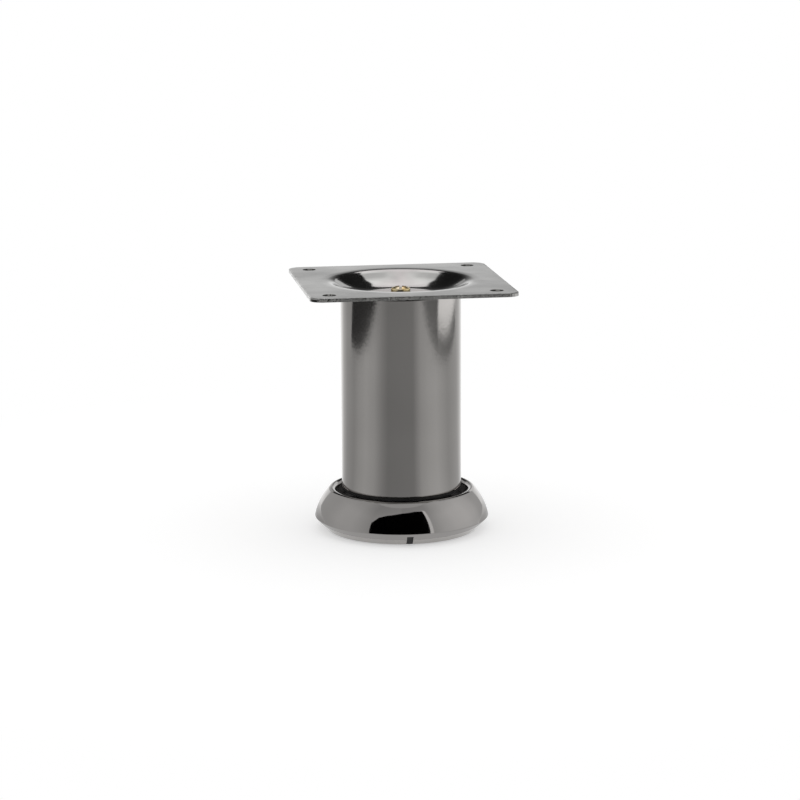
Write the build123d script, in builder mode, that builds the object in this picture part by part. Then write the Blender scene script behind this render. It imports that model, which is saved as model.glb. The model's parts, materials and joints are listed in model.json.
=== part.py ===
"""Round metal furniture leg with a dished mounting plate and a screw-adjustable foot.

Millimetres.  The leg stands on z = 0 with its axis on Z, and the plate's sides lie along X and Y.
Every piece of the assembly is its own solid, written to its own STEP file.
"""
import os
from math import cos, radians, sin, tan

from build123d import *

# Heights of the main faces
plate_top = 105.0
tube_bottom = 18.2
recess_floor = 11.8

# Square mounting plate, pressed from sheet with a dish in its middle
plate_side = 84.5
plate_corner = 5.0
plate_sheet = 1.5
plate_edge_round = 0.3
hole_spacing = 68.0
hole_diameter = 5.5
dish_mouth_radius = 30.0
dish_lip_radius = 3.0
dish_flank_angle = 30.0
dish_bowl_radius = 20.0
dish_depth = 5.9

# Centre screw, its split washer and its nut
screw_shank_radius = 2.0
screw_clearance_radius = 2.25
screw_length = 16.0
screw_head_radius = 4.0
screw_head_height = 2.4
screw_head_side = 1.0
screw_slot_width = 1.2
screw_slot_depth = 1.1
screw_cross_length = 4.6
screw_slot_angle = 80.4
split_washer_radius = 3.8
split_washer_height = 1.0
split_washer_slit = 0.7
small_nut_flats = 7.0
small_nut_height = 3.2

# Tube
tube_radius = 25.0
tube_wall = 1.2
tube_seat_width = 0.4
tube_edge_round = 0.3

# Nylon plugs in the ends of the tube
plug_fit = 0.05
plug_skirt = 2.0
plug_web = 3.0
plug_rib = 1.6
plug_rib_count = 6
top_plug_height = 18.0
top_boss_radius = 7.0
top_boss_height = 11.6
bottom_plug_top = 40.0
bottom_flange_radius = 24.6
bottom_flange_height = 1.2
bottom_boss_radius = 13.5
bottom_boss_top = 33.0
bottom_rib_top = 36.0
washer_bay_radius = 11.5
washer_bay_top = 19.4

# Levelling screw, its nut and its loose washer
spindle_radius = 5.0
spindle_top = 42.0
spindle_end_chamfer = 1.0
spindle_flats = 17.0
spindle_head_height = 6.4
spindle_running_fit = 0.05
spindle_clearance = 0.3
spindle_nut_bottom = 20.0
spindle_nut_height = 8.0
loose_washer_radius = 10.0
loose_washer_height = 2.0

# Foot cup, a spun steel shell that covers the base
cup_sheet = 0.9
cup_hem_radius = 31.3
cup_hem_height = 0.4
cup_corner_radius = 36.4
cup_corner_height = 5.5
cup_corner_round = 0.4
cup_lean = 12.0
cup_shoulder_radius = 25.0
cup_shoulder_turn = 30.0
cup_crest_radius = 1.7
cup_mouth_skirt_gap = 0.1
cup_notch_width = 2.6
cup_notch_top = 4.4
cup_notch_angle = -99.6

# Moulded base under the cup
base_tread_radius = 29.7
base_tread_width = 2.4
base_lip_clearance = 0.1
base_snap_radius = 33.6
base_snap_height = 6.0
base_shoulder_radius = 31.0
base_shoulder_height = 9.0
base_web = 3.0
base_boss_radius = 12.5
base_boss_bottom = 1.0
base_rib = 2.0
base_rib_count = 8
base_rib_bottom = 0.8
pocket_fit = 0.05


def sheet_underside(radius):
    """Height of the dish's underside on its straight flank, at the given radius."""
    flank_start = dish_mouth_radius - dish_lip_radius * sin(radians(dish_flank_angle))
    lip_drop = dish_lip_radius * (1 - cos(radians(dish_flank_angle)))
    flank_drop = (flank_start - radius) * tan(radians(dish_flank_angle))
    return plate_top - lip_drop - flank_drop - plate_sheet / cos(radians(dish_flank_angle))


def hexagon(across_flats):
    """Hexagon drawn by its width across the flats."""
    RegularPolygon(radius=across_flats / 2, side_count=6, major_radius=False)


def hex_nut(across_flats, height, bore_radius, bottom):
    """Hexagon nut with its corners turned off at 30 degrees on both faces."""
    corner = across_flats / 2 / cos(radians(30))
    face = across_flats / 2 * 0.96
    bevel = (corner - face) * tan(radians(30))
    with BuildPart() as nut:
        with BuildSketch(Plane.XY.offset(bottom)):
            hexagon(across_flats)
            Circle(bore_radius, mode=Mode.SUBTRACT)
        extrude(amount=height)
        with BuildSketch(Plane.XZ):
            with BuildLine():
                Polyline(
                    (0, bottom),
                    (face, bottom),
                    (corner, bottom + bevel),
                    (corner, bottom + height - bevel),
                    (face, bottom + height),
                    (0, bottom + height),
                    close=True,
                )
            make_face()
        revolve(axis=Axis.Z, mode=Mode.INTERSECT)
    return nut.part


os.makedirs("parts", exist_ok=True)

# Heights and lengths worked out from the dimensions above
dish_floor = plate_top - dish_depth
flank_height = dish_depth - (dish_lip_radius + dish_bowl_radius) * (1 - cos(radians(dish_flank_angle)))
flank_length = flank_height / sin(radians(dish_flank_angle))
tube_bore = tube_radius - tube_wall
tube_top = sheet_underside(tube_bore + tube_seat_width)
plug_radius = tube_bore - plug_fit
screw_seat = dish_floor + split_washer_height
top_plug_face = dish_floor - plate_sheet
spindle_head_bottom = recess_floor - spindle_head_height

# Mounting plate: flat square with a dish whose flank rests on the tube's mouth
with BuildPart() as mounting_plate:
    with BuildSketch(Plane.XY.offset(plate_top)):
        RectangleRounded(plate_side, plate_side, plate_corner)
        Circle(dish_mouth_radius, mode=Mode.SUBTRACT)
    extrude(amount=-plate_sheet)
    fillet(mounting_plate.faces().sort_by(Axis.Z)[-1].outer_wire().edges(), radius=plate_edge_round)
    with BuildSketch(Plane.XZ):
        with BuildLine():
            lip = JernArc((dish_mouth_radius, plate_top), (-1, 0), dish_lip_radius, dish_flank_angle)
            flank = PolarLine(lip @ 1, flank_length, direction=lip % 1)
            bowl = JernArc(flank @ 1, flank % 1, dish_bowl_radius, -dish_flank_angle)
            Line(bowl @ 1, (screw_clearance_radius, dish_floor))
            offset(amount=plate_sheet, side=Side.LEFT)
        make_face()
    revolve(axis=Axis.Z)
    with Locations((0, 0, plate_top)):
        with GridLocations(hole_spacing, hole_spacing, 2, 2):
            Hole(hole_diameter / 2, depth=2 * plate_sheet)
mounting_plate.part.label = "mounting_plate"
export_step(mounting_plate.part, "parts/mounting_plate.step")

# Centre screw: low pan head with a straight slot crossed by a short one
with BuildPart() as plate_screw:
    with BuildSketch(Plane.XZ):
        with BuildLine():
            Polyline(
                (0, screw_seat - screw_length),
                (screw_shank_radius, screw_seat - screw_length),
                (screw_shank_radius, screw_seat),
                (screw_head_radius, screw_seat),
                (screw_head_radius, screw_seat + screw_head_side),
            )
            EllipticalCenterArc(
                (0, screw_seat + screw_head_side),
                screw_head_radius,
                screw_head_height - screw_head_side,
                start_angle=0,
                arc_size=90,
            )
            Line((0, screw_seat + screw_head_height), (0, screw_seat - screw_length))
        make_face()
    revolve(axis=Axis.Z)
    with BuildSketch(Plane.XY.offset(screw_seat + screw_head_height)):
        Rectangle(3 * screw_head_radius, screw_slot_width, rotation=screw_slot_angle)
        Rectangle(screw_cross_length, screw_slot_width, rotation=screw_slot_angle + 90)
    extrude(amount=-screw_slot_depth, mode=Mode.SUBTRACT)
plate_screw.part.label = "plate_screw"
export_step(plate_screw.part, "parts/plate_screw.step")

# Split spring washer under the screw's head
with BuildPart() as split_washer:
    with BuildSketch(Plane.XY.offset(dish_floor)):
        Circle(split_washer_radius)
        Circle(screw_clearance_radius, mode=Mode.SUBTRACT)
        with Locations((-split_washer_radius, 0)):
            Rectangle(2 * split_washer_radius, split_washer_slit, mode=Mode.SUBTRACT)
    extrude(amount=split_washer_height)
split_washer.part.label = "split_washer"
export_step(split_washer.part, "parts/split_washer.step")

# Tube, bevelled inside its top end to the slope of the dish's flank
with BuildPart() as leg_tube:
    with BuildSketch(Plane.XZ) as tube_section:
        with BuildLine():
            Polyline(
                (tube_bore, tube_bottom),
                (tube_radius, tube_bottom),
                (tube_radius, tube_top),
                (tube_bore + tube_seat_width, tube_top),
                (tube_bore, sheet_underside(tube_bore)),
                close=True,
            )
        make_face()
        fillet(tube_section.vertices().group_by(Axis.X)[-1], radius=tube_edge_round)
    revolve(axis=Axis.Z)
leg_tube.part.label = "leg_tube"
export_step(leg_tube.part, "parts/leg_tube.step")

# Top plug: ribbed nylon cup under the dish, with a boss that holds the small nut
with BuildPart() as top_plug:
    with BuildSketch(Plane.XY.offset(top_plug_face)):
        Circle(plug_radius)
    extrude(amount=-plug_web)
    with BuildSketch(Plane.XY.offset(top_plug_face)):
        Circle(plug_radius)
        Circle(plug_radius - plug_skirt, mode=Mode.SUBTRACT)
    extrude(amount=-top_plug_height)
    rib_length = plug_radius - plug_skirt / 2 - top_boss_radius / 2
    with BuildSketch(Plane.XY.offset(top_plug_face)):
        Circle(top_boss_radius)
        with PolarLocations(plug_radius - plug_skirt / 2 - rib_length / 2, plug_rib_count):
            Rectangle(rib_length, plug_rib)
    extrude(amount=-top_boss_height)
    with BuildSketch(Plane.XY.offset(top_plug_face)):
        Circle(screw_clearance_radius)
    extrude(amount=-top_boss_height, mode=Mode.SUBTRACT)
    with BuildSketch(Plane.XY.offset(top_plug_face - top_boss_height)):
        hexagon(small_nut_flats + 2 * pocket_fit)
    extrude(amount=small_nut_height, mode=Mode.SUBTRACT)
top_plug.part.label = "top_plug"
export_step(top_plug.part, "parts/top_plug.step")

# Small nut in the top plug, drawn up against the roof of its pocket
top_nut = hex_nut(
    small_nut_flats,
    small_nut_height,
    screw_shank_radius + spindle_running_fit,
    top_plug_face - top_boss_height,
)
top_nut.label = "top_nut"
export_step(top_nut, "parts/top_nut.step")

# Bottom plug: flanged nylon bush with a hexagonal pocket for the levelling nut
with BuildPart() as bottom_plug:
    with BuildSketch(Plane.XY.offset(tube_bottom)):
        Circle(bottom_flange_radius)
    extrude(amount=-bottom_flange_height)
    with BuildSketch(Plane.XY.offset(tube_bottom)):
        Circle(plug_radius)
    extrude(amount=plug_web)
    with BuildSketch(Plane.XY.offset(tube_bottom)):
        Circle(plug_radius)
        Circle(plug_radius - plug_skirt, mode=Mode.SUBTRACT)
    extrude(amount=bottom_plug_top - tube_bottom)
    with BuildSketch(Plane.XY.offset(tube_bottom)):
        Circle(bottom_boss_radius)
    extrude(amount=bottom_boss_top - tube_bottom)
    rib_length = plug_radius - plug_skirt / 2 - bottom_boss_radius + plug_rib
    with BuildSketch(Plane.XY.offset(tube_bottom)):
        with PolarLocations(plug_radius - plug_skirt / 2 - rib_length / 2, plug_rib_count):
            Rectangle(rib_length, plug_rib)
    extrude(amount=bottom_rib_top - plug_web - tube_bottom)
    with BuildSketch(Plane.XY.offset(bottom_boss_top)):
        Circle(spindle_radius + spindle_clearance)
    extrude(amount=tube_bottom - bottom_flange_height - bottom_boss_top, mode=Mode.SUBTRACT)
    with BuildSketch(Plane.XY.offset(spindle_nut_bottom + spindle_nut_height)):
        hexagon(spindle_flats + 2 * pocket_fit)
    extrude(amount=washer_bay_top - spindle_nut_bottom - spindle_nut_height, mode=Mode.SUBTRACT)
    with BuildSketch(Plane.XY.offset(washer_bay_top)):
        Circle(washer_bay_radius)
    extrude(amount=tube_bottom - bottom_flange_height - washer_bay_top, mode=Mode.SUBTRACT)
bottom_plug.part.label = "bottom_plug"
export_step(bottom_plug.part, "parts/bottom_plug.step")

# Levelling nut, pushed up against the roof of its pocket
spindle_nut = hex_nut(
    spindle_flats,
    spindle_nut_height,
    spindle_radius + spindle_running_fit,
    spindle_nut_bottom,
)
spindle_nut.label = "spindle_nut"
export_step(spindle_nut, "parts/spindle_nut.step")

# Levelling screw: hexagon head down in the base, its thread drawn as a plain cylinder
with BuildPart() as spindle:
    with BuildSketch(Plane.XY.offset(spindle_head_bottom)):
        hexagon(spindle_flats)
    extrude(amount=spindle_head_height)
    with BuildSketch(Plane.XY.offset(spindle_head_bottom)):
        Circle(spindle_radius)
    extrude(amount=spindle_top - spindle_head_bottom)
    chamfer(spindle.faces().sort_by(Axis.Z)[-1].edges(), length=spindle_end_chamfer)
spindle.part.label = "spindle"
export_step(spindle.part, "parts/spindle.step")

# Loose washer that lies on the levelling screw's head
with BuildPart() as loose_washer:
    with BuildSketch(Plane.XY.offset(recess_floor)):
        Circle(loose_washer_radius)
        Circle(spindle_radius + spindle_clearance, mode=Mode.SUBTRACT)
    extrude(amount=loose_washer_height)
loose_washer.part.label = "loose_washer"
export_step(loose_washer.part, "parts/loose_washer.step")

# Foot cup: hem, undercut, sharp corner, domed shoulder and a crest rolled down into the mouth
with BuildPart() as foot_cup:
    with BuildSketch(Plane.XZ) as cup_section:
        with BuildLine():
            undercut = Line((cup_hem_radius, cup_hem_height), (cup_corner_radius, cup_corner_height))
            lean = radians(90 + cup_lean)
            shoulder = JernArc(undercut @ 1, (cos(lean), sin(lean)), cup_shoulder_radius, cup_shoulder_turn)
            crest = JernArc(shoulder @ 1, shoulder % 1, cup_crest_radius, 180 - cup_lean - cup_shoulder_turn)
            Line(crest @ 1, ((crest @ 1).X, recess_floor + cup_mouth_skirt_gap))
            offset(amount=cup_sheet, side=Side.LEFT)
        make_face()
        fillet(cup_section.vertices().sort_by(Axis.X)[-1], radius=cup_corner_round)
    revolve(axis=Axis.Z)
    with BuildSketch(Plane.XY):
        with PolarLocations(cup_hem_radius, 1, start_angle=cup_notch_angle):
            Rectangle(2 * (cup_corner_radius - cup_hem_radius), cup_notch_width)
    extrude(amount=cup_notch_top, mode=Mode.SUBTRACT)
foot_cup.part.label = "foot_cup"
export_step(foot_cup.part, "parts/foot_cup.step")

# Foot base: nylon moulding held by the cup's hem, cored from below between ribs
with BuildPart() as foot_base:
    with BuildSketch(Plane.XZ):
        with BuildLine():
            undercut_shift = (cup_sheet + base_lip_clearance) / cos(radians(45))
            tread_rise = base_tread_radius - cup_hem_radius + cup_hem_height + undercut_shift
            snap_rise = base_snap_radius - cup_hem_radius + cup_hem_height + undercut_shift
            Polyline(
                (0, 0),
                (base_tread_radius, 0),
                (base_tread_radius, tread_rise),
                (base_snap_radius, snap_rise),
                (base_snap_radius, base_snap_height),
                (base_shoulder_radius, base_shoulder_height),
                (base_shoulder_radius, recess_floor),
                (0, recess_floor),
                close=True,
            )
        make_face()
    revolve(axis=Axis.Z)
    core_radius = base_tread_radius - base_tread_width
    rib_length = core_radius - base_boss_radius + 2 * base_rib
    with BuildSketch():
        Circle(core_radius)
        Circle(base_boss_radius, mode=Mode.SUBTRACT)
        with PolarLocations((core_radius + base_boss_radius) / 2, base_rib_count):
            Rectangle(rib_length, base_rib, mode=Mode.SUBTRACT)
    extrude(amount=recess_floor - base_web, mode=Mode.SUBTRACT)
    with BuildSketch():
        Circle(core_radius)
    extrude(amount=base_rib_bottom, mode=Mode.SUBTRACT)
    with BuildSketch():
        Circle(base_boss_radius)
    extrude(amount=base_boss_bottom, mode=Mode.SUBTRACT)
    with BuildSketch(Plane.XY.offset(recess_floor)):
        hexagon(spindle_flats + 2 * pocket_fit)
    extrude(amount=-spindle_head_height, mode=Mode.SUBTRACT)
foot_base.part.label = "foot_base"
export_step(foot_base.part, "parts/foot_base.step")
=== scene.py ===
"""Looks of the adjustable furniture leg: finishes, soft-lipped plate, turned cup, studio and camera.

Metres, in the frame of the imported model.  The leg stands on z = 0 with its axis on Z.
"""
import json
import math

import bmesh
import bpy
from mathutils import Matrix, Vector


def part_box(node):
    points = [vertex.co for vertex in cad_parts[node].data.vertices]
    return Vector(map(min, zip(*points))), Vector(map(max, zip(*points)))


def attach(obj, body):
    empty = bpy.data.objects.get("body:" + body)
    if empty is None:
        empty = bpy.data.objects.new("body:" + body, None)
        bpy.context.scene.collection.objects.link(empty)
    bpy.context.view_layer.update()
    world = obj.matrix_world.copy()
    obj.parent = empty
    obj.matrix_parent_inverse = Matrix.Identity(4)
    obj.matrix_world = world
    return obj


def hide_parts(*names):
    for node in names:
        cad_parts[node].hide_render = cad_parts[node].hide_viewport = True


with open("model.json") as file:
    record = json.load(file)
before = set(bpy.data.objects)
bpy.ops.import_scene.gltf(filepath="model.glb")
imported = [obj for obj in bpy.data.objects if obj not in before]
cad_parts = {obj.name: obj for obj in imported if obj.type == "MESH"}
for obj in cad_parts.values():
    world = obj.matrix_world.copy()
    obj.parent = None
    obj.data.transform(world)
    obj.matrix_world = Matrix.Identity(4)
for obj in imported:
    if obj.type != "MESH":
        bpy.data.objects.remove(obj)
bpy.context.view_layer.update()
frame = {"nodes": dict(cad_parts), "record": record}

MM = 0.001

# Camera, fitted to the photograph
PHOTO_PIXELS = 800
SENSOR_WIDTH = 36.0
FOCAL_PIXELS = 2644.2
CAMERA_BACK = 1080.4 * MM
CAMERA_HEIGHT = 276.5 * MM
CAMERA_PITCH = math.radians(11.622)
CAMERA_YAW = math.radians(-0.025)
CAMERA_ROLL = math.radians(-0.27)
PLATE_TURN = math.radians(8.68)


def turned(vector):
    """A direction or place of the studio, whose camera looks along +Y, in the object's frame."""
    return Matrix.Rotation(-PLATE_TURN, 3, "Z") @ Vector(vector)


# Helpers for nodes and objects


class Shader:
    """A new node material with a few short-hand calls."""

    def __init__(self, name):
        self.material = bpy.data.materials.new(name)
        self.material.use_nodes = True
        self.tree = self.material.node_tree
        self.tree.nodes.clear()
        self.output = self.node("ShaderNodeOutputMaterial")

    def node(self, kind, inputs=None, **settings):
        made = self.tree.nodes.new(kind)
        for key, value in settings.items():
            setattr(made, key, value)
        for key, value in (inputs or {}).items():
            self.feed(made.inputs[key], value)
        return made

    def feed(self, socket, value):
        if isinstance(value, bpy.types.NodeSocket):
            self.tree.links.new(value, socket)
        else:
            socket.default_value = value

    def math(self, operation, a, b=0.0, c=0.0):
        made = self.node("ShaderNodeMath", operation=operation)
        for socket, value in zip(made.inputs, (a, b, c)):
            self.feed(socket, value)
        return made.outputs[0]

    def ramp(self, factor, stops):
        """Colour ramp; stops are (position, grey or colour)."""
        made = self.node("ShaderNodeValToRGB", {"Fac": factor})
        elements = made.color_ramp.elements
        while len(elements) < len(stops):
            elements.new(0.5)
        for element, (position, colour) in zip(elements, stops):
            element.position = position
            element.color = colour_of(colour)
        return made.outputs["Color"]

    def place(self):
        """Place of the shaded point in the object's own frame."""
        return self.node("ShaderNodeTexCoord").outputs["Object"]

    def noise(self, scale, detail=2.0, stretch=(1, 1, 1), roughness=0.5):
        """Noise over the object's own frame; scale is waves per metre."""
        sized = self.node("ShaderNodeMapping", {"Vector": self.place(), "Scale": stretch})
        made = self.node(
            "ShaderNodeTexNoise",
            {"Vector": sized.outputs[0], "Scale": scale, "Detail": detail, "Roughness": roughness},
        )
        return made.outputs["Fac"]

    def bump(self, height, distance, below=None):
        """Normal of a bumpy face; below is the normal of a coarser bump under it."""
        made = self.node("ShaderNodeBump", {"Height": height, "Distance": distance, "Strength": 1.0})
        if below is not None:
            self.feed(made.inputs["Normal"], below)
        return made.outputs["Normal"]

    def glow(self, colour, strength=1.0):
        return self.node("ShaderNodeEmission", {"Color": colour, "Strength": strength}).outputs[0]

    def finish(self, surface):
        self.tree.links.new(surface, self.output.inputs["Surface"])
        return self.material


def colour_of(value):
    if isinstance(value, (int, float)):
        return (value, value, value, 1.0)
    return (*value, 1.0)


def link(name, data):
    made = bpy.data.objects.new(name, data)
    bpy.context.scene.collection.objects.link(made)
    return made


# Materials

CLOUD_SCALE = 60.0


def scaled(tone, share):
    return [channel * share for channel in tone]


def cloudy_roughness(s, roughness, low, high):
    """Roughness that drifts slowly between two shares of its middle value."""
    return s.node(
        "ShaderNodeMapRange",
        {
            "Value": s.noise(CLOUD_SCALE, detail=3.0),
            "From Min": 0.3,
            "From Max": 0.7,
            "To Min": roughness * low,
            "To Max": roughness * high,
        },
    ).outputs["Result"]


def metal(s, tint, roughness, normal):
    bsdf = s.node(
        "ShaderNodeBsdfPrincipled",
        {"Base Color": tint, "Metallic": 1.0, "Roughness": roughness, "Normal": normal},
    )
    return s.finish(bsdf.outputs[0])


def dark_chrome(
    name, tone, roughness, ripple, ripple_scale, stretch=(1, 1, 1), grain=0.0, grain_scale=900.0
):
    """Mirror-like dark nickel chrome with a slow ripple of the sheet and a fine grain.

    The ripple is a height in metres, and the grain is a share of it.
    """
    s = Shader(name)
    waves = s.noise(ripple_scale, stretch=stretch)
    fine = s.noise(grain_scale, detail=3.0, stretch=stretch)
    height = s.math("MULTIPLY_ADD", fine, grain, waves)
    tint = s.ramp(s.noise(25.0), [(0.3, scaled(tone, 0.95)), (0.7, scaled(tone, 1.05))])
    return metal(s, tint, cloudy_roughness(s, roughness, 0.8, 1.25), s.bump(height, ripple))


EDGE_MARKS_START = 0.5 * MM
EDGE_MARKS_FULL = 0.2 * MM


def plate_chrome(name, tone, roughness):
    """Dark chrome of the plate, with the torn and burnished marks of its sheared edge."""
    s = Shader(name)
    split = s.node("ShaderNodeSeparateXYZ", {"Vector": s.place()}).outputs
    out = s.math("MAXIMUM", s.math("ABSOLUTE", split["X"]), s.math("ABSOLUTE", split["Y"]))
    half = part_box("mounting_plate")[1][0]
    edge = s.node(
        "ShaderNodeMapRange",
        {"Value": out, "From Min": half - EDGE_MARKS_START, "From Max": half - EDGE_MARKS_FULL},
    ).outputs["Result"]
    torn = s.noise(1500.0, stretch=(1, 1, 0.3), roughness=0.7)
    ripple = s.bump(s.noise(24.0), distance=0.0002)
    grain = s.bump(s.noise(1400.0), distance=0.0000012, below=ripple)
    marks = s.bump(s.math("MULTIPLY", torn, edge), distance=0.0004, below=grain)
    haze = [(0.35, scaled(tone, 0.7)), (0.65, scaled(tone, 1.15))]
    tint = s.ramp(s.noise(38.0, detail=3.0), haze)
    return metal(s, tint, cloudy_roughness(s, roughness, 0.7, 1.4), marks)


def zinc(name, tones, roughness):
    """Passivated zinc plating: a slow drift between tones over a fine matt crystal grain."""
    s = Shader(name)
    drift = s.noise(420.0, detail=3.0)
    stops = [(0.3 + 0.4 * i / (len(tones) - 1), tone) for i, tone in enumerate(tones)]
    return metal(s, s.ramp(drift, stops), roughness, s.bump(s.noise(2500.0), distance=0.00003))


def black_nylon():
    s = Shader("black_nylon")
    bsdf = s.node(
        "ShaderNodeBsdfPrincipled",
        {
            "Base Color": s.ramp(s.noise(180.0), [(0.35, 0.012), (0.65, 0.02)]),
            "Roughness": 0.48,
            "Specular IOR Level": 0.4,
            "Normal": s.bump(s.noise(3000.0), distance=0.00004),
        },
    )
    return s.finish(bsdf.outputs[0])


CHROME_TONE = (0.455, 0.439, 0.427)
TUBE_TONE = (0.455, 0.44, 0.425)
PLATE_TONE = (0.45, 0.447, 0.435)
YELLOW_TONES = [(0.72, 0.5, 0.22), (0.86, 0.72, 0.42), (0.8, 0.7, 0.55)]
BRIGHT_TONES = [(0.5, 0.51, 0.53), (0.66, 0.67, 0.68)]

materials = {
    "dark_chrome": dark_chrome("dark_chrome", CHROME_TONE, 0.05, ripple=0.00001, ripple_scale=30.0),
    "dark_chrome_tube": dark_chrome(
        "dark_chrome_tube",
        TUBE_TONE,
        0.09,
        ripple=0.000008,
        ripple_scale=420.0,
        stretch=(1, 1, 0.4),
        grain=1.3,
        grain_scale=1900.0,
    ),
    "plate": plate_chrome("dark_chrome_plate", PLATE_TONE, 0.09),
    "yellow_zinc": zinc("yellow_zinc", YELLOW_TONES, 0.22),
    "bright_zinc": zinc("bright_zinc", BRIGHT_TONES, 0.3),
    "black_nylon": black_nylon(),
}

slot_of = {row["node"]: row["material_slot"] for row in frame["record"]["subparts"]}
for name, node in frame["nodes"].items():
    node.data.materials.clear()
    node.data.materials.append(materials[slot_of[name]])


# Mounting plate, with the soft lip that its dish has in the photograph

PLATE_SHEET = 1.5 * MM
PLATE_CORNER = 5.0 * MM
PLATE_EDGE_ROUND = 0.35 * MM
EDGE_ROUND_ANGLES = (0, 30, 60, 90)
EDGE_BAND = 0.8 * MM
EDGE_SUPPORT = 0.15 * MM
PLATE_RAYS = 720
SHARP_ANGLE = math.radians(35)
BOLT_PLACE = 34.0 * MM
BOLT_HOLE_RADIUS = 2.75 * MM
BOLT_HOLE_SIDES = 64
SCREW_HOLE_RADIUS = 2.25 * MM
DISH_MOUTH_RADIUS = 33.9 * MM
DISH_DRAW_RADIUS = 60.0 * MM
DISH_DRAW_ANGLE = math.radians(3)
DISH_DRAW_STEPS = 6
DISH_LIP_RADIUS = 8.0 * MM
DISH_BOWL_RADIUS = 26.0 * MM
DISH_CURVE_STEPS = 14
DISH_FLANK_ANGLE = math.radians(30)
DISH_DEPTH = 5.9 * MM


def arc(centre, radius, first, last, steps):
    """Points (radius, height) on an arc; angles from straight up, turning towards the leg's axis."""
    points = []
    for i in range(steps + 1):
        a = first + (last - first) * i / steps
        points.append((centre[0] - radius * math.sin(a), centre[1] + radius * math.cos(a)))
    return points


def sheet_profile(top, gap):
    """One face of the dished sheet, from the flat to the screw hole, the gap below its top face."""
    sin_draw, cos_draw = math.sin(DISH_DRAW_ANGLE), math.cos(DISH_DRAW_ANGLE)
    sin_flank, cos_flank = math.sin(DISH_FLANK_ANGLE), math.cos(DISH_FLANK_ANGLE)
    draw_centre = (DISH_MOUTH_RADIUS, top - DISH_DRAW_RADIUS)
    step_in = DISH_DRAW_RADIUS - DISH_LIP_RADIUS
    lip_centre = (draw_centre[0] - step_in * sin_draw, draw_centre[1] + step_in * cos_draw)
    lip_end = (lip_centre[0] - DISH_LIP_RADIUS * sin_flank, lip_centre[1] + DISH_LIP_RADIUS * cos_flank)
    bowl_top = top - DISH_DEPTH + DISH_BOWL_RADIUS * (1 - cos_flank)
    bowl_edge = lip_end[0] - (lip_end[1] - bowl_top) * cos_flank / sin_flank
    bowl_centre = (bowl_edge - DISH_BOWL_RADIUS * sin_flank, top - DISH_DEPTH + DISH_BOWL_RADIUS)
    draw = arc(draw_centre, DISH_DRAW_RADIUS - gap, 0, DISH_DRAW_ANGLE, DISH_DRAW_STEPS)
    lip = arc(lip_centre, DISH_LIP_RADIUS - gap, DISH_DRAW_ANGLE, DISH_FLANK_ANGLE, DISH_CURVE_STEPS)
    bowl = arc(bowl_centre, -(DISH_BOWL_RADIUS + gap), DISH_FLANK_ANGLE, 0, DISH_CURVE_STEPS)
    return draw + lip[1:] + bowl + [(SCREW_HOLE_RADIUS, top - DISH_DEPTH - gap)]


def outline_reach(turn, half, corner):
    """Distance from the axis to the rounded square's outline in one direction."""
    c, s = abs(math.cos(turn)), abs(math.sin(turn))
    straight = half / max(c, s)
    if min(c, s) * straight <= half - corner:
        return straight
    middle = (half - corner) * (c + s)
    return middle + math.sqrt(middle * middle - 2 * (half - corner) ** 2 + corner * corner)


def plate_mesh(half, top):
    """Closed sheet: rings of points from the screw hole out over the top, round the edge and back."""
    turns = [2 * math.pi * i / PLATE_RAYS for i in range(PLATE_RAYS)]
    reach = [outline_reach(turn, half, PLATE_CORNER) for turn in turns]

    def ring(radius, height):
        return [(radius * math.cos(t), radius * math.sin(t), height) for t in turns]

    def edge(inset, height):
        return [((d - inset) * math.cos(t), (d - inset) * math.sin(t), height) for t, d in zip(turns, reach)]

    rings = [ring(*point) for point in reversed(sheet_profile(top, 0))]
    rings.append(edge(EDGE_BAND, top))
    for a in EDGE_ROUND_ANGLES:
        inset = PLATE_EDGE_ROUND * (1 - math.sin(math.radians(a)))
        drop = PLATE_EDGE_ROUND * (1 - math.cos(math.radians(a)))
        rings.append(edge(inset, top - drop))
    rings.append(edge(0, top - PLATE_EDGE_ROUND - EDGE_SUPPORT))
    rings.append(edge(0, top - PLATE_SHEET))
    rings += [ring(*point) for point in sheet_profile(top, PLATE_SHEET)]
    faces = []
    for k in range(len(rings)):
        for i in range(PLATE_RAYS):
            j = (i + 1) % PLATE_RAYS
            m = (k + 1) % len(rings)
            faces.append((k * PLATE_RAYS + i, m * PLATE_RAYS + i, m * PLATE_RAYS + j, k * PLATE_RAYS + j))
    mesh = bpy.data.meshes.new("plate_sheet")
    mesh.from_pydata([point for ring_points in rings for point in ring_points], [], faces)
    return mesh


def face_outwards(mesh):
    bm = bmesh.new()
    bm.from_mesh(mesh)
    bmesh.ops.recalc_face_normals(bm, faces=bm.faces)
    bm.to_mesh(mesh)
    bm.free()


def bolt_hole_cutter(top):
    bm = bmesh.new()
    for x in (-BOLT_PLACE, BOLT_PLACE):
        for y in (-BOLT_PLACE, BOLT_PLACE):
            bmesh.ops.create_cone(
                bm,
                cap_ends=True,
                segments=BOLT_HOLE_SIDES,
                radius1=BOLT_HOLE_RADIUS,
                radius2=BOLT_HOLE_RADIUS,
                depth=6 * PLATE_SHEET,
                matrix=Matrix.Translation((x, y, top)),
            )
    mesh = bpy.data.meshes.new("bolt_holes")
    bm.to_mesh(mesh)
    bm.free()
    return mesh


def with_cut(blank, cutter):
    """Mesh of the blank less the cutter; both objects are used up."""
    cut = blank.modifiers.new("cut", "BOOLEAN")
    cut.operation = "DIFFERENCE"
    cut.solver = "EXACT"
    cut.object = cutter
    graph = bpy.context.evaluated_depsgraph_get()
    mesh = bpy.data.meshes.new_from_object(blank.evaluated_get(graph))
    bpy.data.objects.remove(blank)
    bpy.data.objects.remove(cutter)
    return mesh


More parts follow.
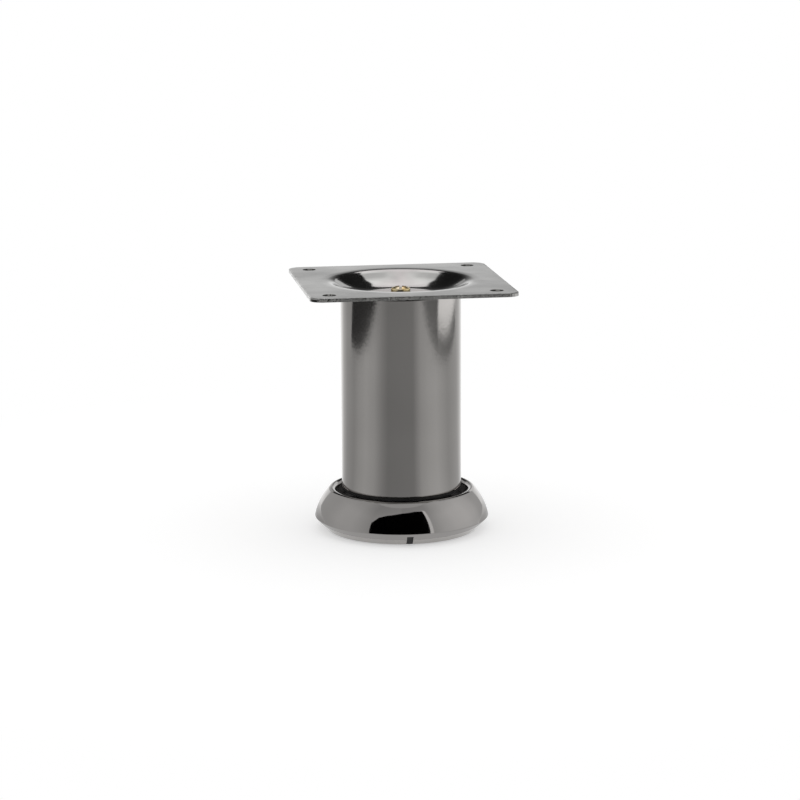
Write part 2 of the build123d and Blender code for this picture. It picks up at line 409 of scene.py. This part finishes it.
def build_plate():
    high = Vector(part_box("mounting_plate")[1])
    sheet = plate_mesh(high.x, high.z)
    face_outwards(sheet)
    mesh = with_cut(link("plate_blank", sheet), link("plate_cutter", bolt_hole_cutter(high.z)))
    mesh.materials.clear()
    mesh.materials.append(materials["plate"])
    for face in mesh.polygons:
        face.use_smooth = True
        face.material_index = 0
    mesh.set_sharp_from_angle(angle=SHARP_ANGLE)
    plate = link("soft_lipped_plate", mesh)
    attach(plate, "leg")
    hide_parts("mounting_plate")


build_plate()


# Foot cup, turned to where its small notch stands in the photograph

NOTCH_TURN = math.radians(6.7)


def build_cup():
    mesh = frame["nodes"]["foot_cup"].data.copy()
    mesh.transform(Matrix.Rotation(NOTCH_TURN, 4, "Z"))
    cup = link("foot_cup_shell", mesh)
    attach(cup, "foot")
    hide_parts("foot_cup")


build_cup()


# Studio

PANEL_CENTRE = 100 * MM
PANEL_STEPS = 72
RING_STEPS = 96
WORLD_LIGHT = 0.9
FLOOR_REACH = 14.0
FLOOR_FADE = (0.1, 0.3)
FLOOR_SHARE = 0.7
FLOOR_WHITE = 1.04
FLOOR_IN_METAL = 0.8
TABLE_STRENGTH = 1.2
ROOM_CARD_HEIGHT = 0.9 * MM


def light_path_mix(tree, seen, lighting):
    """What the camera and mirror rays see, and what lights the object."""
    nodes, links = tree.nodes, tree.links
    path = nodes.new("ShaderNodeLightPath")
    total = nodes.new("ShaderNodeMath")
    total.operation = "ADD"
    links.new(path.outputs["Is Camera Ray"], total.inputs[0])
    links.new(path.outputs["Is Glossy Ray"], total.inputs[1])
    more = nodes.new("ShaderNodeMath")
    more.operation = "ADD"
    more.use_clamp = True
    links.new(total.outputs[0], more.inputs[0])
    links.new(path.outputs["Is Transmission Ray"], more.inputs[1])
    mix = nodes.new("ShaderNodeMixShader")
    links.new(more.outputs[0], mix.inputs[0])
    links.new(lighting, mix.inputs[1])
    links.new(seen, mix.inputs[2])
    return mix.outputs[0]


def set_world():
    world = bpy.data.worlds.new("studio_world")
    bpy.context.scene.world = world
    world.use_nodes = True
    tree = world.node_tree
    tree.nodes.clear()
    seen = tree.nodes.new("ShaderNodeBackground")
    seen.inputs["Color"].default_value = colour_of(1.0)
    lighting = tree.nodes.new("ShaderNodeBackground")
    lighting.inputs["Color"].default_value = colour_of(WORLD_LIGHT)
    output = tree.nodes.new("ShaderNodeOutputWorld")
    tree.links.new(light_path_mix(tree, seen.outputs[0], lighting.outputs[0]), output.inputs[0])


def floor_material():
    """White table: it takes a soft shadow near the foot and turns into plain white further out."""
    s = Shader("studio_floor")
    reach = s.node("ShaderNodeVectorMath", operation="LENGTH")
    s.feed(reach.inputs[0], s.place())
    fade = s.node(
        "ShaderNodeMapRange",
        {"Value": reach.outputs["Value"], "From Min": FLOOR_FADE[0], "From Max": FLOOR_FADE[1]},
    ).outputs["Result"]
    near = s.node("ShaderNodeAddShader")
    s.feed(near.inputs[0], s.node("ShaderNodeBsdfDiffuse", {"Color": colour_of(FLOOR_SHARE)}).outputs[0])
    s.feed(near.inputs[1], s.glow(colour_of(1.0), FLOOR_WHITE - WORLD_LIGHT * FLOOR_SHARE))
    seen = s.node("ShaderNodeMixShader", {"Fac": fade})
    s.feed(seen.inputs[1], near.outputs[0])
    s.feed(seen.inputs[2], s.glow(colour_of(1.0)))
    plain = s.node("ShaderNodeBsdfDiffuse", {"Color": colour_of(FLOOR_IN_METAL)})
    return s.finish(light_path_mix(s.tree, seen.outputs[0], plain.outputs[0]))


def add_mesh(name, verts, faces, material):
    mesh = bpy.data.meshes.new(name)
    mesh.from_pydata([tuple(v) for v in verts], [], faces)
    mesh.materials.append(material)
    return link(name, mesh)


def seen_in_metal_only(card):
    """A studio card outside the picture: it shows in polished metal and does nothing else."""
    card.visible_camera = False
    card.visible_diffuse = False
    card.visible_shadow = False
    card.visible_transmission = False
    card.visible_volume_scatter = False


def plain_tone(name, tone):
    s = Shader(name)
    return s.finish(s.glow(colour_of(tone)))


def polar(s):
    """Bearing and elevation, in radians, of the shaded point from the panel's own origin."""
    place = s.place()
    split = s.node("ShaderNodeSeparateXYZ", {"Vector": place}).outputs
    reach = s.node("ShaderNodeVectorMath", operation="LENGTH")
    s.feed(reach.inputs[0], place)
    bearing = s.math("ARCTAN2", split["X"], split["Y"])
    elevation = s.math("ARCSINE", s.math("DIVIDE", split["Z"], reach.outputs["Value"]))
    return bearing, elevation


def stops_between(points, low, high):
    """Ramp stops for (degrees, tone) points on a scale from low to high degrees."""
    return [((at - low) / (high - low), tone) for at, tone in points]


def round_ramp(s, bearing, points):
    """Tone by bearing, from points (degrees, tone) between -180 and 180."""
    turn = s.math("DIVIDE", s.math("ADD", bearing, math.pi), 2 * math.pi)
    return s.ramp(turn, stops_between(points, -180, 180))


def rising_tone(name, points, across=None, strength=1.0):
    """Tone that changes with elevation, and by a second ramp with bearing; points in degrees."""
    s = Shader(name)
    bearing, elevation = polar(s)
    share = s.math("DIVIDE", elevation, math.radians(90))
    tones = s.ramp(share, stops_between(points, 0, 90))
    if across:
        tones = s.node(
            "ShaderNodeMix",
            {0: 1.0, 6: tones, 7: round_ramp(s, bearing, across)},
            data_type="RGBA",
            blend_type="MULTIPLY",
        ).outputs[2]
    return s.finish(s.glow(tones, strength))


def along(points, x):
    """Height of the line drawn through the points at x."""
    for (x0, y0), (x1, y1) in zip(points, points[1:]):
        if x <= x1:
            return y0 + (y1 - y0) * (x - x0) / (x1 - x0)
    return points[-1][1]


def on_sphere(bearing, elevation):
    """Direction of a bearing and elevation in degrees."""
    b, e = math.radians(bearing), math.radians(elevation)
    return Vector((math.sin(b) * math.cos(e), math.cos(b) * math.cos(e), math.sin(e)))


def panel(name, low, high, material, radius):
    """Curved studio panel between two outlines of (bearing, elevation) points in degrees.

    Bearings run clockwise from straight behind the object, as the camera sees it.
    """
    first, last = low[0][0], low[-1][0]
    verts, faces = [], []
    for i in range(PANEL_STEPS + 1):
        bearing = first + (last - first) * i / PANEL_STEPS
        bottom, top = along(low, bearing), along(high, bearing)
        for j in range(PANEL_STEPS + 1):
            verts.append(on_sphere(bearing, bottom + (top - bottom) * j / PANEL_STEPS) * radius)
    for i in range(PANEL_STEPS):
        for j in range(PANEL_STEPS):
            a = i * (PANEL_STEPS + 1) + j
            faces.append((a, a + 1, a + PANEL_STEPS + 2, a + PANEL_STEPS + 1))
    made = add_mesh(name, verts, faces, material)
    made.location = (0, 0, PANEL_CENTRE)
    made.rotation_euler = (0, 0, -PLATE_TURN)
    seen_in_metal_only(made)


def level_panel(name, bearings, elevations, material, radius):
    """Curved studio panel with level edges."""
    low, high = ([(bearing, elevation) for bearing in bearings] for elevation in elevations)
    panel(name, low, high, material, radius)


def table_painted_shade():
    """The table as the metal sees it, with painted shade that is darkest towards the camera; bearing 0 is
    towards the camera.
    """
    s = Shader("table_painted_shade")
    split = s.node("ShaderNodeSeparateXYZ", {"Vector": s.place()}).outputs
    bearing = s.math("ARCTAN2", split["X"], s.math("MULTIPLY", split["Y"], -1.0))
    # Painted light and shade of the table by bearing: bright behind the leg, darkest towards the camera.
    tones = [
        (-165, 1.0),
        (-150, 0.85),
        (-138, 0.56),
        (-122, 0.4),
        (-98, 0.35),
        (-84, 0.43),
        (-68, 0.48),
        (-50, 0.43),
        (-35, 0.3),
        (-24, 0.235),
        (22, 0.25),
        (36, 0.42),
        (52, 0.49),
        (68, 0.52),
        (97, 0.4),
        (127, 0.46),
        (143, 0.62),
        (158, 0.85),
    ]
    return s.finish(s.glow(round_ramp(s, bearing, tones), TABLE_STRENGTH))


def ring_card(name, inner, outer, height, material):
    """Flat ring of card round the foot."""
    verts, faces = [], []
    for i in range(RING_STEPS):
        a = 2 * math.pi * i / RING_STEPS
        for r in (inner, outer):
            verts.append((r * math.sin(a), -r * math.cos(a), height))
    for i in range(RING_STEPS):
        a, b = 2 * i, 2 * ((i + 1) % RING_STEPS)
        faces.append((a, a + 1, b + 1, b))
    made = add_mesh(name, verts, faces, material)
    made.rotation_euler = (0, 0, -PLATE_TURN)
    seen_in_metal_only(made)


def flat_card(name, across, away, tone):
    """Oblong card on the table, placed across and away from the camera, in millimetres."""
    corners = [(across[0], away[0]), (across[1], away[0]), (across[1], away[1]), (across[0], away[1])]
    verts = [turned((x * MM, y * MM, ROOM_CARD_HEIGHT)) for x, y in corners]
    made = add_mesh(name, verts, [(0, 1, 2, 3)], plain_tone(name + "_tone", tone))
    seen_in_metal_only(made)


def build_floor():
    corners = [(-FLOOR_REACH, -FLOOR_REACH), (FLOOR_REACH, -FLOOR_REACH)]
    corners += [(FLOOR_REACH, FLOOR_REACH), (-FLOOR_REACH, FLOOR_REACH)]
    floor = add_mesh("studio_floor", [(x, y, 0) for x, y in corners], [(0, 1, 2, 3)], floor_material())


def build_tent():
    """Ceiling and side walls of the light tent."""
    level_panel("ceiling", (-180, 180), (58, 90), plain_tone("ceiling_tone", 0.5), radius=2.3)
    rise = [(0, 0.95), (9, 1.0), (33, 1.0), (48, 0.86), (60, 0.8)]
    around = [
        (-180, 0.5),
        (-135, 0.44),
        (-108, 0.58),
        (-84, 0.6),
        (-60, 0.53),
        (-32, 0.5),
        (32, 0.5),
        (48, 0.55),
        (60, 0.66),
        (78, 0.73),
        (102, 0.7),
        (120, 0.6),
        (135, 0.48),
        (180, 0.45),
    ]
    level_panel("tent_wall", (30, 330), (-3, 60), rising_tone("tent_tone", rise, around), radius=2.1)


def build_backdrop():
    """Backdrop that darkens upwards, with a brighter wing on each side."""
    rise = [
        (0, 0.98),
        (6, 0.86),
        (8.5, 0.7),
        (10.5, 0.5),
        (13, 0.3),
        (16, 0.16),
        (20, 0.06),
        (25, 0.02),
        (60, 0.015),
    ]
    level_panel("backdrop", (-32, 32), (-3, 60), rising_tone("backdrop_tone", rise), radius=1.8)
    level_panel("wing_left", (-30, -11), (8, 19), plain_tone("wing_left_tone", 0.5), radius=1.75)
    level_panel("wing_right", (9, 30), (8, 20), plain_tone("wing_right_tone", 0.85), radius=1.75)


def build_softbox():
    """Overhead softbox behind the object, whose lower edge comes down to a point."""
    low = [
        (-45, 62),
        (-32, 54),
        (-27, 49.5),
        (-22, 46.5),
        (-16, 44),
        (-12.5, 41.5),
        (-10, 38),
        (-8, 35.5),
        (-6, 31),
        (-3, 28),
        (0, 27),
        (3, 28),
        (6.5, 31),
        (9, 36),
        (11.5, 40),
        (16, 44),
        (23, 47),
        (27, 49.5),
        (32, 54),
        (45, 62),
    ]
    high = [(-45, 84), (45, 84)]
    rise = [(26, 0.75), (32, 0.85), (40, 1.0), (56, 1.0), (70, 0.9), (84, 0.6)]
    around = [
        (-45, 0.4),
        (-30, 0.5),
        (-22, 0.75),
        (-15, 0.95),
        (0, (1.0, 0.95, 0.965)),
        (15, 0.95),
        (22, 0.75),
        (30, 0.5),
        (45, 0.4),
    ]
    panel("softbox", low, high, rising_tone("softbox_tone", rise, around, strength=1.36), radius=1.6)


def build_camera_gap():
    """Dark opening that the camera looks through, with a bright strip beside it."""
    low = [(142, -4), (223.5, -4)]
    high = [
        (142, 48),
        (156, 50),
        (180, 48),
        (192, 45),
        (204, 42),
        (216, 36),
        (219, 31),
        (223.5, 24),
        (223.5, 0),
    ]
    panel("camera_gap", low, high, plain_tone("gap_tone", 0.0), radius=1.5)
    strip_low, strip_high = [(137.5, 8), (142, 4)], [(137.5, 47), (142, 50)]
    panel("gap_side", strip_low, strip_high, plain_tone("gap_side_tone", 0.8), radius=1.5)


def build_table():
    """The table and the room past its edges, as the metal sees them, with painted shade on the table round
    the foot and towards the camera.
    """
    # Painted shade: a grey ring for the floor in the foot's contact shadow, seen only in the metal.
    ring_card("near_shade_card", 33 * MM, 60 * MM, 0.5 * MM, plain_tone("near_painted_shade", 0.55))
    ring_card("table_card", 60 * MM, 1.2, 0.6 * MM, table_painted_shade())
    flat_card("room_left", (-1600, -435), (-600, 140), tone=0.04)
    flat_card("room_right", (408, 496), (-600, 300), tone=0.2)
    flat_card("room_front_right", (496, 1600), (-600, -160), tone=0.2)
    flat_card("window_right", (496, 1600), (-160, 400), tone=1.2)


def build_camera():
    data = bpy.data.cameras.new("camera")
    data.sensor_width = SENSOR_WIDTH
    data.lens = FOCAL_PIXELS / PHOTO_PIXELS * SENSOR_WIDTH
    data.clip_start = 0.01
    data.clip_end = 50.0
    camera = link("camera", data)
    forward = Vector(
        (
            math.sin(CAMERA_YAW) * math.cos(CAMERA_PITCH),
            math.cos(CAMERA_YAW) * math.cos(CAMERA_PITCH),
            -math.sin(CAMERA_PITCH),
        )
    )
    right = forward.cross(Vector((0, 0, 1))).normalized()
    up = right.cross(forward)
    rolled_right = right * math.cos(CAMERA_ROLL) + up * math.sin(CAMERA_ROLL)
    rolled_up = up * math.cos(CAMERA_ROLL) - right * math.sin(CAMERA_ROLL)
    place = Vector((0, -CAMERA_BACK, CAMERA_HEIGHT))
    axes = Matrix((turned(rolled_right), turned(rolled_up), turned(-forward))).transposed()
    camera.matrix_world = Matrix.Translation(turned(place)) @ axes.to_4x4()
    bpy.context.scene.camera = camera


set_world()
build_floor()
build_tent()
build_backdrop()
build_softbox()
build_camera_gap()
build_table()
build_camera()
bpy.context.scene.view_settings.view_transform = "Standard"
